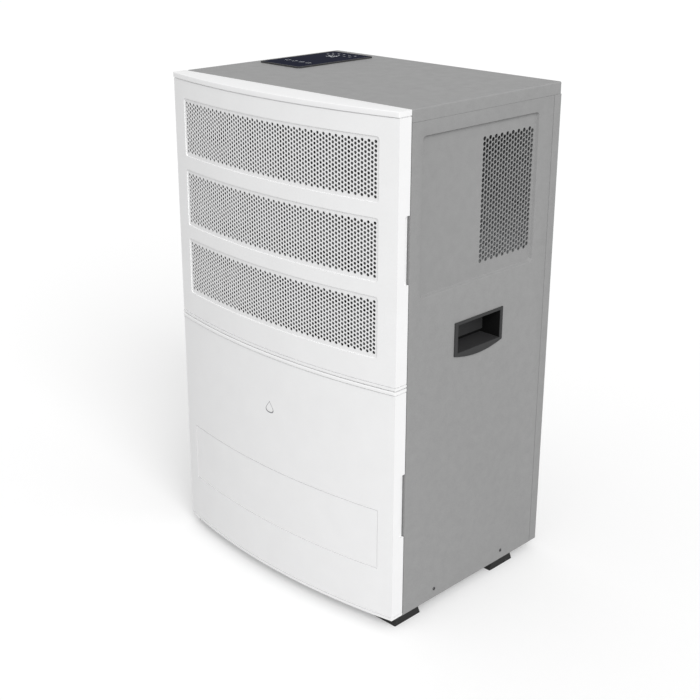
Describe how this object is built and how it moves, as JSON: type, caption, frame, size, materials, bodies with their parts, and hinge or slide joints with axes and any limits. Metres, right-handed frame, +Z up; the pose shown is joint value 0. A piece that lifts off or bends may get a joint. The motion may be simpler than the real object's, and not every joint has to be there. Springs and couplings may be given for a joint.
{
  "type": "commercial dehumidifier",
  "caption": "Upright sheet-metal cabinet dehumidifier with a bowed white front, swinging grille door, pull-out water tank, side air outlet and side grips.",
  "frame": {"origin": "on the floor, under the middle of the object's bounding box", "axes": "+Z up, the bowed front faces -Y, the air outlet is on the +X side"},
  "size_m": [0.5944, 0.474, 0.973],
  "materials": {
    "grey_coat": "grey powder coat, fine texture, satin",
    "white_coat": "white moulding, satin",
    "white_grille": "white powder-coated perforated sheet",
    "galvanised": "galvanised sheet, dull spangle",
    "dark_plastic": "dark moulded plastic, fine grain",
    "rubber": "black rubber, matte",
    "display": "navy-black gloss panel",
    "screw_steel": "dark zinc-plated steel",
    "aluminium": "bare aluminium, bright",
    "copper": "bare copper tube",
    "black_paint": "black enamel, semi-gloss",
    "tank_plastic": "translucent moulded plastic, smooth",
    "blue_plastic": "blue foam plastic"
  },
  "bodies": {
    "cabinet": {"right_side_panel": "grey_coat", "left_side_panel": "grey_coat", "rear_panel": "grey_coat", "top_lid": "grey_coat", "outlet_grille": "grey_coat", "base_pan": "galvanised", "front_frame": "galvanised", "mid_shelf": "galvanised", "fan_deck": "galvanised", "fan_scroll": "galvanised", "fan_motor": "galvanised", "coil_frame": "galvanised", "evaporator_fins": "aluminium", "condenser_fins": "aluminium", "evaporator_tube": "copper", "condenser_tube": "copper", "drip_tray": "dark_plastic", "compressor_shell": "black_paint", "compressor_pump": "screw_steel", "compressor_base": "black_paint", "compressor_mount_1": "rubber", "compressor_mount_2": "rubber", "compressor_mount_3": "rubber", "accumulator": "black_paint", "suction_pipe": "copper", "discharge_pipe": "copper", "electrical_box": "galvanised", "electrical_cover": "galvanised", "run_capacitor": "aluminium", "cable_gland": "dark_plastic", "drain_spout": "dark_plastic", "tank_runner_left": "galvanised", "tank_runner_right": "galvanised", "float_switch": "dark_plastic", "hinge_bracket_bottom": "screw_steel", "hinge_bracket_top": "screw_steel", "door_magnet": "dark_plastic", "right_handle_cup": "dark_plastic", "left_handle_cup": "dark_plastic", "foot_front_left": "rubber", "foot_front_right": "rubber", "foot_rear_left": "rubber", "foot_rear_right": "rubber", "display_frame": "dark_plastic", "display_glass": "display"},
    "upper_door": {"upper_door": "white_coat", "intake_grille_top": "white_grille", "intake_grille_middle": "white_grille", "intake_grille_bottom": "white_grille", "filter_frame": "dark_plastic", "strike_plate": "screw_steel", "hinge_pin_bottom": "screw_steel", "hinge_pin_top": "screw_steel"},
    "tank_drawer": {"lower_door": "white_coat", "water_tank": "tank_plastic", "tank_link": "galvanised"},
    "tank_handle": {"tank_handle": "dark_plastic"},
    "tank_float": {"tank_float": "blue_plastic"},
    "fan": {"fan_wheel": "galvanised", "fan_shaft": "screw_steel"}
  },
  "joints": [
    {"name": "upper_door_hinge", "type": "hinge", "parent": "cabinet", "child": "upper_door", "pos_m": [-0.2905, -0.1795, 0.502], "axis": [0, 0, -1], "range_deg": [0, 105]},
    {"name": "tank_slide", "type": "slide", "parent": "cabinet", "child": "tank_drawer", "axis": [0, -1, 0], "range_m": [0, 0.22]},
    {"name": "tank_handle_pivot", "type": "hinge", "parent": "tank_drawer", "child": "tank_handle", "pos_m": [0, -0.071, 0.254], "axis": [1, 0, 0], "range_deg": [0, 90]},
    {"name": "tank_float_slide", "type": "slide", "parent": "tank_drawer", "child": "tank_float", "axis": [0, 0, 1], "range_m": [0, 0.03]},
    {"name": "fan_spin", "type": "hinge", "parent": "cabinet", "child": "fan", "pos_m": [-0.035, 0.024, 0.735], "axis": [0, 1, 0], "continuous": true}
  ]
}
